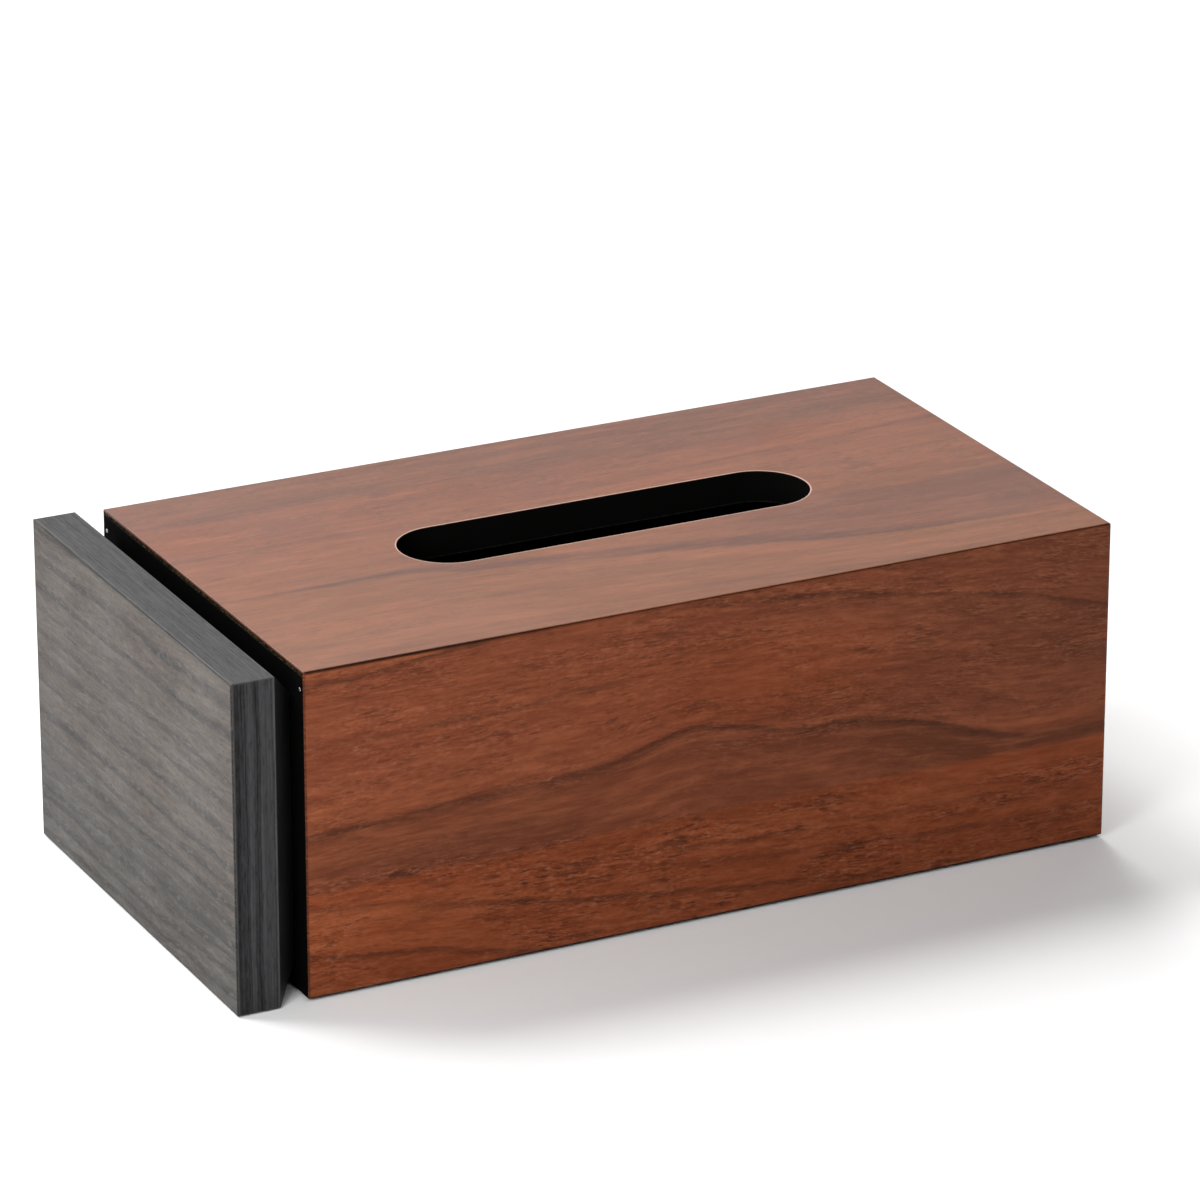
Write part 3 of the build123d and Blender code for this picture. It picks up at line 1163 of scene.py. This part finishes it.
CREST: Route = (
    (0, 44.5), (20, 44), (45, 42.3), (75, 41.5), (90, 40), (100, 37), (110, 35), (120, 36.5), (130, 38.7),
    (140, 41), (155, 41.7), (165, 42.6), (175, 45), (185, 48), (195, 51.5), (205, 54.5), (218, 56),
    (235, 56),
)
SHOULDER: Route = (
    (0, 0), (110, 0.4), (125, 2), (140, 3.5), (155, 5.5), (165, 7.5), (180, 10), (195, 12.5), (210, 15.3),
    (225, 20), (235, 23),
)
LOWER_LINE: Route = (
    (0, 65), (15, 66.5), (30, 68.5), (42, 71), (60, 74), (80, 77.3), (95, 79), (115, 81.4), (130, 83.3),
    (150, 85.5), (165, 87.5), (235, 90),
)
NEAR_FIGURE = Figure((
    Band(Tone.DUSK, 0.62, ((0, -2), (235, -2)), 50.0, (1.0, 7.0), ((0, 0), (110, 0), (160, 0.35),
        (200, 0.8), (235, 1))),
    Band(Tone.WARM, 0.85, ((0, 61.3), (70, 61), (110, 60.3), (235, 60.3)), 60.0, (1.2, 1.0)),
    Band(Tone.GLOW, 0.30, ((0, 66), (60, 70), (235, 70)), 6.0, (2.0, 2.5), ((0, 1), (45, 1), (75, 0),
        (235, 0))),
    Band(Tone.GLOW, 0.28, ((0, 74.5), (60, 80), (235, 84)), 3.0, (1.5, 1.5), ((0, 1), (50, 0.7), (70, 0),
        (235, 0))),
    Band(Tone.GLOW, 0.26, ((0, 62), (125, 63.5), (190, 66), (235, 70)), 4.5, (2, 2), ((0, 0), (112, 0),
        (130, 1), (185, 1), (200, 0), (235, 0))),
    Band(Tone.GLOW, 0.22, ((0, 37), (235, 35)), 4.5, (2, 1), ((0, 1), (30, 0.9), (50, 0.6), (70, 0.5),
        (85, 0), (235, 0))),
    Band(Tone.GLOW, 0.20, ((0, -1), (235, -1)), 3.0, (0.5, 1), ((0, 1), (35, 1), (50, 0), (235, 0))),
    Band(Tone.GLOW, 0.14, ((0, 12.5), (235, 12.5)), 5.0, (3, 3), ((0, 0.3), (55, 0.5), (75, 1), (95, 1),
        (150, 0.6), (170, 0), (235, 0))),
    Band(Tone.WARM, 0.6, ((0, 12), (235, 16)), 22.0, (6, 6), ((0, 0), (90, 0.3), (125, 1), (150, 0.8),
        (175, 0), (235, 0))),
    Band(Tone.DUSK, 0.72, CREST, ((0, 60.5), (60, 60.5), (90, 60), (235, 59.8)), (1.4, 0.9), ((0, 0.45),
        (30, 0.8), (75, 0.8), (95, 0.5), (150, 0.65), (180, 1), (235, 1))),
    Band(Tone.DUSK, 0.45, ((0, 51), (75, 50), (235, 50)), 8.0, (2.5, 2), ((0, 0.4), (25, 1), (68, 1),
        (82, 0), (235, 0))),
    Band(Tone.LINE, 0.44, ((0, 50), (150, 47), (185, 51), (205, 55), (235, 56)), ((0, 60), (235, 59.8)),
        (3, 1), ((0, 0), (155, 0), (190, 0.9), (235, 1))),
    Band(Tone.DUSK, 0.62, SHOULDER, ((0, 5), (110, 6), (150, 12), (180, 19), (210, 30), (235, 42)),
        (0.4, 4), ((0, 0), (100, 0.1), (150, 0.5), (200, 0.9), (235, 1)), True),
    growth_line(0.86, ((0, 4), (15, 3.3), (30, 2), (45, 0.5), (60, 0), (235, 0)), ((0, 1), (48, 1), (58, 0),
        (235, 0))),
    growth_line(0.95, SHOULDER, ((0, 0), (100, 0), (115, 0.7), (150, 1), (180, 0.8), (210, 1), (235, 0.8))),
    Band(Tone.LINE, 0.62, ((0, 19.4), (20, 20.4), (40, 19.7), (55, 19.3), (80, 18.5), (95, 18.5),
        (235, 18)), 1.7, (0.8, 0.8), ((0, 0.4), (14, 0.2), (22, 0.7), (30, 0.3), (38, 1), (45, 0.8),
        (52, 0.3), (70, 0.7), (85, 1), (93, 0.1), (235, 0))),
    Band(Tone.LINE, 0.60, CREST, 2.6, (1.1, 1.5), ((0, 0.9), (25, 0.9), (60, 0.8), (88, 1), (104, 0.5),
        (112, 0), (155, 0), (172, 0.8), (195, 1), (210, 0.3), (235, 0))),
    growth_line(0.91, CREST, ((0, 0.3), (40, 0.2), (80, 0.4), (98, 0.9), (130, 1), (190, 1), (205, 0.4),
        (220, 0), (235, 0)), guides=True),
    growth_line(0.88, LOWER_LINE, ((0, 0.8), (15, 0.9), (25, 0.4), (40, 0.8), (95, 1), (130, 0.9),
        (160, 0.4), (180, 0), (235, 0)), guides=True),
    growth_line(0.91, ((0, 78.3), (15, 80.2), (30, 81.8), (50, 85.7), (65, 88.7), (75, 90), (235, 90)),
        ((0, 0.9), (68, 0.9), (76, 0), (235, 0))),
    growth_line(0.72, ((0, 62), (60, 64.5), (100, 68.2), (140, 69.7), (200, 71.2), (235, 73)), ((0, 0),
        (55, 0), (62, 0.5), (72, 0.1), (100, 0.5), (110, 1), (145, 0.6), (165, 0.9), (205, 0.6),
        (235, 0.3))),
    growth_line(0.62, ((0, 70), (110, 73.2), (135, 75.2), (160, 77.2), (185, 78.7), (235, 80)), ((0, 0),
        (100, 0), (115, 0.9), (160, 0.8), (200, 0.9), (235, 0.5))),
), unrest=((0, 1), (44, 1), (48, 0.4), (58, 0.4), (62, 1.4), (90, 1.45)))
DRIFTING_LINE: Route = (
    (0, 79), (50, 80), (75, 86.5), (100, 91.3), (130, 97.5), (150, 101.5), (165, 106), (185, 109),
    (200, 110.5), (235, 112.5),
)
ZONE_TOP: Route = ((0, 76), (50, 77), (80, 82), (110, 88), (140, 94), (165, 102), (185, 107), (235, 110))
top_line = partial(growth_line, width=1.0, soft_mm=(0.7, 1.1))
TOP_FIGURE = Figure((
    Band(Tone.DUSK, 0.20, ((0, -5), (235, -5)), 150.0),
    Band(Tone.DUSK, 0.55, ((0, -5), (235, -5)), 42.0, (1.0, 22.0)),
    Band(Tone.DUSK, 0.9, ((0, -4), (235, -4)), 12.0, (2, 3), ((0, 0.1), (100, 0.3), (150, 1), (235, 1))),
    Band(Tone.LINE, 0.30, ((0, 15), (235, 14)), 7.0, (3, 3), ((0, 0.3), (15, 1), (110, 0.8), (150, 0.6),
        (235, 0.9)), True),
    Band(Tone.WARM, 0.3, ((0, 23), (235, 23)), 50.0, (6, 6)),
    Band(Tone.DUSK, 0.85, ((0, 70), (150, 77), (180, 76), (235, 76)), DRIFTING_LINE, (5, 0.9), ((0, 0),
        (110, 0), (160, 0.9), (235, 1))),
    Band(Tone.DUSK, 0.9, ZONE_TOP, DRIFTING_LINE, (1.8, 1.0), ((0, 0.25), (42, 0.5), (62, 1), (165, 1),
        (200, 0.5), (235, 0.4))),
    Band(Tone.LINE, 0.34, ZONE_TOP, DRIFTING_LINE, (2.2, 1.0), ((0, 0.1), (42, 0.4), (62, 1), (165, 1),
        (200, 0.4), (235, 0.2))),
    Band(Tone.GLOW, 0.5, ((0, 90), (120, 98), (165, 107), (235, 113)), 5.0, (2, 2.5), ((0, 0), (100, 0),
        (125, 1), (155, 0.8), (175, 0), (235, 0))),
    top_line(0.74, ((0, 45.6), (50, 45.3), (100, 44.3), (150, 41), (200, 37), (235, 34)), ((0, 0.8),
        (50, 0.9), (62, 0.3), (110, 0.35), (150, 0.3), (165, 0.6), (235, 0.5)), guides=True),
    top_line(0.88, ((0, 77), (50, 77.8), (60, 79), (235, 110)), ((0, 0.9), (48, 0.9), (66, 0), (235, 0))),
    top_line(0.95, DRIFTING_LINE, ((0, 0), (90, 0), (125, 0.5), (165, 1), (200, 0.9), (235, 0.6)),
        guides=True),
    top_line(0.33, ((0, 120.5), (235, 123)), ((0, 0.3), (20, 1), (150, 0.8), (165, 0), (235, 0))),
), unrest=((0, 1.2), (60, 1.1), (85, 0.8), (130, 0.8)))
FAR_CREST: Route = ((0, 52), (60, 50), (120, 42), (180, 47), (235, 51))
FAR_FIGURE = Figure((
    Band(Tone.WARM, 0.8, ((0, 70), (235, 72)), 40.0, (1.5, 1)),
    Band(Tone.GLOW, 0.2, ((0, 26), (110, 30), (235, 28)), 5.0, (2.5, 2.5), ((0, 0.2), (70, 1), (150, 0.6),
        (235, 0.2))),
    Band(Tone.DUSK, 0.6, FAR_CREST, ((0, 69), (235, 70)), (1.2, 1.0), ((0, 1), (90, 0.6), (235, 0.8))),
    Band(Tone.LINE, 0.6, ((0, 12), (50, 9), (110, 14), (170, 22), (235, 20)), 0.6, (0.4, 0.7), ((0, 0.8),
        (80, 0.5), (150, 1), (235, 0.7)), True),
    Band(Tone.LINE, 0.7, FAR_CREST, 0.7, (0.5, 0.8), ((0, 0.4), (70, 0.8), (130, 1), (235, 0.7)), True),
    Band(Tone.LINE, 0.6, ((0, 74), (80, 78), (160, 84), (235, 82)), 0.6, (0.4, 0.6), ((0, 0.9), (120, 0.6),
        (235, 0.8)), True),
))
END_CREST: Route = ((0, 56), (45, 51), (90, 58), (130, 61))
END_FIGURE = Figure((
    Band(Tone.WARM, 0.8, ((0, 68), (130, 71)), 40.0, (1.5, 1)),
    Band(Tone.DUSK, 0.55, END_CREST, ((0, 67), (130, 70)), (1.2, 1.0)),
    Band(Tone.LINE, 0.6, ((0, 20), (40, 17), (85, 22), (130, 19)), 0.6, (0.4, 0.7), ((0, 1), (70, 0.5),
        (130, 0.9)), True),
    Band(Tone.LINE, 0.7, END_CREST, 0.7, (0.5, 0.8), ((0, 0.6), (60, 1), (130, 0.8)), True),
))
UPRIGHT_STRIPES: Route = (
    (0, 0.95), (0.4, 0.75), (0.9, 0.45), (1.9, 0.62), (2.8, 0.42), (3.6, 0.62), (4.4, 0.25), (5.4, 0.16),
    (6.2, 0.30), (7.0, 0.58), (7.7, 0.34), (8.4, 0.22), (9.4, 0.16), (10.6, 0.12), (11.4, 0.2), (12, 0.4),
)

# ---------------------------------------------------------------------------------------------
# The object
# ---------------------------------------------------------------------------------------------


def dress(piece: bpy.types.Object, material: bpy.types.Material, body: str) -> None:
    """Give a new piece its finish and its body.

    Args:
        piece: The new piece.
        material: Its finish.
        body: The body that it moves with.
    """
    piece.data.materials.clear()
    piece.data.materials.append(material)
    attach(piece, body)
    log.info("built %s on %s", piece.name, body)


def refinish(node: str, material: bpy.types.Material) -> None:
    """Give a node of the frame its finish, leaving its shape alone.

    Args:
        node: Name of the node.
        material: Its finish.
    """
    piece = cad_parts[node]
    for place in piece.material_slots:
        place.material = material
    if not piece.material_slots:
        piece.data.materials.append(material)
    log.info("finished %s", node)


@dataclass
class Case:
    """The still part: five fibreboards, their walnut veneers, two brads and four felt pads."""

    groups: SharedGroups
    body: str = "case"
    arris: float = 0.4 * MM
    pad_radius: float = 5.0 * MM
    pad_edge: float = 0.3 * MM

    def build(self) -> None:
        """Make and dress every piece of the case."""
        self.build_veneers()
        self.finish_boards()
        self.build_pads()

    def build_veneers(self) -> None:
        """Model the four veneers again, with their arrises softened, and dress them."""
        open_end, far_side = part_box("case_bottom_board")[0].x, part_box("far_veneer")[1].y
        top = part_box("top_veneer")[1].z
        on_top = GrainAxes("X", open_end, "Y", far_side)
        on_side = GrainAxes("X", open_end, "Z", top)
        on_end = GrainAxes("Y", -far_side, "Z", top)
        three, four = (0.0, MITRE, MITRE, MITRE), (MITRE, MITRE, MITRE, MITRE)
        mirrored = (MITRE, MITRE, 0.0, MITRE)
        # the top's ground is lighter and yellower than the sides', partly as painted sheen
        top_walnut = WalnutVeneer(
            ground=(0.177, 0.0610, 0.0220), slow=1.6, streaky=0.8, fast=0.7, ior=1.42, marked_mm=1000.0
        )
        near_walnut, far_walnut = WalnutVeneer(seed=2.0), WalnutVeneer(seed=4.0)
        closed_walnut = WalnutVeneer(seed=6.0, open_edge=WalnutVeneer.glue)
        for plate, axes, figure, walnut in (
            (SlottedPlate("top_veneer", Facing.UP, self.arris, leans=three), on_top, TOP_FIGURE, top_walnut),
            (Plate("near_veneer", Facing.NEAR, self.arris, leans=three), on_side, NEAR_FIGURE, near_walnut),
            (Plate("far_veneer", Facing.FAR, self.arris, leans=mirrored), on_side, FAR_FIGURE, far_walnut),
            (Plate("end_veneer", Facing.RIGHT, self.arris, leans=four), on_end, END_FIGURE, closed_walnut),
        ):
            material = walnut.material(f"walnut_{plate.node}", self.groups, axes, figure)
            dress(plate.build(f"{plate.node}_skin"), material, self.body)

    def finish_boards(self) -> None:
        """Finish the boards and brads, which keep the frame's shapes."""
        top, open_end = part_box("top_veneer")[1].z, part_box("case_bottom_board")[0].x
        start, lip = open_end + 0.1 * MM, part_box("case_top_board")[0].z
        edge = FibreEdge(strip_top=top, strip_start=start, lip_z=lip).material("fibreboard_edge", self.groups)
        for side in ("top", "near", "far", "end", "bottom"):
            refinish(f"case_{side}_board", edge)
        refinish("corner_brads", BrightSteel().material("brad_steel", self.groups))

    def build_pads(self) -> None:
        """Make the felt pads where the frame has them."""
        low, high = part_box("foot_pads")
        radius = self.pad_radius
        xs, ys = (np.array([low[axis] + radius, high[axis] - radius]) for axis in (0, 1))
        grid = np.stack(np.meshgrid(xs, ys), axis=-1).reshape(-1, 2)
        centres = np.column_stack([grid, np.full(4, low.z)])
        pads = turned_discs("felt_pads", centres, radius, high.z - low.z, self.pad_edge)
        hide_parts("foot_pads")
        dress(pads, PressedFelt().material("black_felt", self.groups), self.body)


@dataclass
class Drawer:
    """The moving part: the grey board, its bevelled backing, the tray and the screws."""

    groups: SharedGroups
    body: str = "drawer"
    arris: float = 0.25 * MM
    band_arris: float = 0.15 * MM
    band_support: tuple[float, float] = (0.3 * MM, 0.9 * MM)
    backing_arris: float = 0.3 * MM
    backing_insets_mm: tuple[float, float, float, float] = (8.4, 8.8, 8.4, 8.6)  # the rear face's

    def build(self) -> None:
        """Make and dress every piece of the drawer."""
        self.build_front()
        self.build_backing()
        self.finish_tray()

    def build_front(self) -> None:
        """Model the grey board's veneer and edge bands again, with softened arrises."""
        low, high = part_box("front_face_veneer")
        across = GrainAxes("Y", high.y, "Z", high.z, along_sign=-1.0)
        grey = GreyVeneer().material("grey_face", self.groups, across)
        face = Plate("front_face_veneer", Facing.LEFT, self.arris).build("front_face_skin")
        dress(face, grey, self.body)
        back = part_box("front_core")[1].x
        up, along = GrainAxes("Z", low.z, "X", back), GrainAxes("Y", low.y, "X", back)
        charcoal = BandVeneer(light=(0.065, 0.063, 0.066), brightness=UPRIGHT_STRIPES)
        upright = charcoal.material("charcoal_upright", self.groups, up)
        level = BandVeneer(seed=27.0).material("charcoal_level", self.groups, along)
        for node, facing, material, slot in (
            ("front_near_band", Facing.NEAR, upright, "charcoal_veneer"),
            ("front_far_band", Facing.FAR, upright, "charcoal_veneer"),
            ("front_top_band", Facing.UP, level, "grey_veneer"),
            ("front_bottom_band", Facing.DOWN, level, "grey_veneer"),
        ):
            band = Plate(node, facing, self.band_arris, support=self.band_support)
            dress(band.build(f"{node}_skin"), material, self.body)

    def build_backing(self) -> None:
        """Model the bevelled backing again: its four sides lean in from the front to the rear."""
        low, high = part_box("front_backing")
        depth = high.x - low.x
        leans = tuple(inset * MM / depth for inset in self.backing_insets_mm)
        shape = Plate("front_backing", Facing.LEFT, self.backing_arris, self.backing_arris, leans)
        paint = BlackPaint().material("black_bevel", self.groups)
        dress(shape.build("bevelled_backing"), paint, self.body)

    def finish_tray(self) -> None:
        """Finish the core, tray and screws, which keep the frame's shapes."""
        refinish("front_core", FibreEdge(strip_start=-1.0).material("front_core_edge", self.groups))
        for name, axis, nodes in (
            ("tray_across", "Y", ("tray_front", "tray_back")),
            ("tray_along", "X", ("tray_near_side", "tray_far_side")),
            ("tray_floor", "", ("tray_bottom",)),
        ):
            paint = BlackPaint(seed=35.0, sawn_axis=axis).material(f"black_{name}", self.groups)
            for node in nodes:
                refinish(node, paint)
        refinish("front_screws", BrightSteel().material("screw_steel", self.groups))


# ---------------------------------------------------------------------------------------------
# The studio
# ---------------------------------------------------------------------------------------------


@dataclass
class Studio:
    """A white floor, soft lights and the photograph's view."""

    target: tuple[float, float, float] = (8.27 * MM, 0.0, 67.27 * MM)
    azimuth: float = -26.672
    elevation: float = 21.501
    distance: float = 1.7556
    lens: float = 197.08
    floor_size: float = 30.0
    floor_colour: Colour = (0.9, 0.9, 0.9)
    sensor_width: float = 36.0
    suns: tuple[tuple[float, float, float, float], ...] = (  # direction in degrees, spread, strength
        (63.0, 22.0, 1.0, 0.74),
        (90.0, 40.0, 0.62, 2.20),
        (138.0, 51.0, 0.26, 0.85),
        (118.0, 59.0, 0.26, 0.64),
        (270.0, 60.0, 1.0, 0.86),
    )
    panels: tuple[tuple[Colour, float, float], ...] = (  # place, width and watts
        ((-0.45, -0.35, 0.25), 0.25, 1.98),
        ((-0.9, 0.6, 0.8), 0.6, 4.1),
        ((-1.0, 0.1, 0.5), 0.6, 1.2),
    )
    sky: float = 0.015

    def build(self) -> None:
        """Make the camera, floor, lights and sky."""
        self.build_camera()
        self.build_floor()
        self.build_lights()
        self.build_sky()
        bpy.context.scene.view_settings.view_transform = "Standard"

    @staticmethod
    def direction(azimuth: float, elevation: float) -> Vector:
        """Turn two angles in degrees into a direction.

        Args:
            azimuth: Angle from +X towards +Y.
            elevation: Angle above the floor.

        Returns:
            The unit vector.
        """
        turn, rise = math.radians(azimuth), math.radians(elevation)
        return Vector((math.cos(turn) * math.cos(rise), math.sin(turn) * math.cos(rise), math.sin(rise)))

    @staticmethod
    def put(name: str, data: bpy.types.ID, place: Vector, away: Vector) -> bpy.types.Object:
        """Link a camera or light at a place, with its back turned to a direction.

        Args:
            name: Name of the new object.
            data: Its camera or light data.
            place: Where it stands.
            away: The direction opposite to the one it looks in.

        Returns:
            The object.
        """
        made = bpy.data.objects.new(name, data)
        made.location = place
        made.rotation_mode = "QUATERNION"
        made.rotation_quaternion = away.to_track_quat("Z", "Y")
        bpy.context.scene.collection.objects.link(made)
        return made

    def build_camera(self) -> None:
        """Place the camera on its ray from the target."""
        back = self.direction(self.azimuth - 90.0, self.elevation)
        data = bpy.data.cameras.new("photo_camera")
        data.lens = self.lens
        data.sensor_width = self.sensor_width
        place = Vector(self.target) + back * self.distance
        bpy.context.scene.camera = self.put("photo_camera", data, place, back)

    def build_floor(self) -> None:
        """Make the floor, which isn't part of the object."""
        half = self.floor_size / 2
        mesh = bpy.data.meshes.new("studio_floor")
        corners = [(-half, -half, 0.0), (half, -half, 0.0), (half, half, 0.0), (-half, half, 0.0)]
        mesh.from_pydata(corners, [], [(0, 1, 2, 3)])
        material = bpy.data.materials.new("white_floor")
        material.use_nodes = True
        shader = material.node_tree.nodes["Principled BSDF"]
        shader.inputs["Base Color"].default_value = (*self.floor_colour, 1.0)
        shader.inputs["Roughness"].default_value = 1.0
        shader.inputs["Specular IOR Level"].default_value = 0.0
        mesh.materials.append(material)
        link("studio_floor", mesh)

    def build_lights(self) -> None:
        """Make the wide soft lights far away and the panels beside the object."""
        for number, (azimuth, elevation, spread, strength) in enumerate(self.suns):
            data = bpy.data.lights.new(f"window_{number}", "SUN")
            data.energy = strength
            data.angle = spread
            self.put(data.name, data, Vector((0.0, 0.0, 1.0)), self.direction(azimuth, elevation))
        for number, (place, width, watts) in enumerate(self.panels):
            data = bpy.data.lights.new(f"panel_{number}", "AREA")
            data.energy = watts
            data.shape = "DISK"
            data.size = width
            self.put(data.name, data, Vector(place), Vector(place))

    def build_sky(self) -> None:
        """Make the faint white surroundings."""
        world = bpy.data.worlds.new("white_room")
        world.use_nodes = True
        background = world.node_tree.nodes["Background"]
        background.inputs["Color"].default_value = (1.0, 1.0, 1.0, 1.0)
        background.inputs["Strength"].default_value = self.sky
        bpy.context.scene.world = world


def main() -> None:
    """Build the object and the studio."""
    logging.basicConfig(level=logging.INFO, format="%(name)s: %(message)s")
    Studio().build()
    groups = SharedGroups()
    for assembly in (Case(groups), Drawer(groups)):
        assembly.build()
    bpy.context.view_layer.update()


if __name__ == "__main__":
    main()
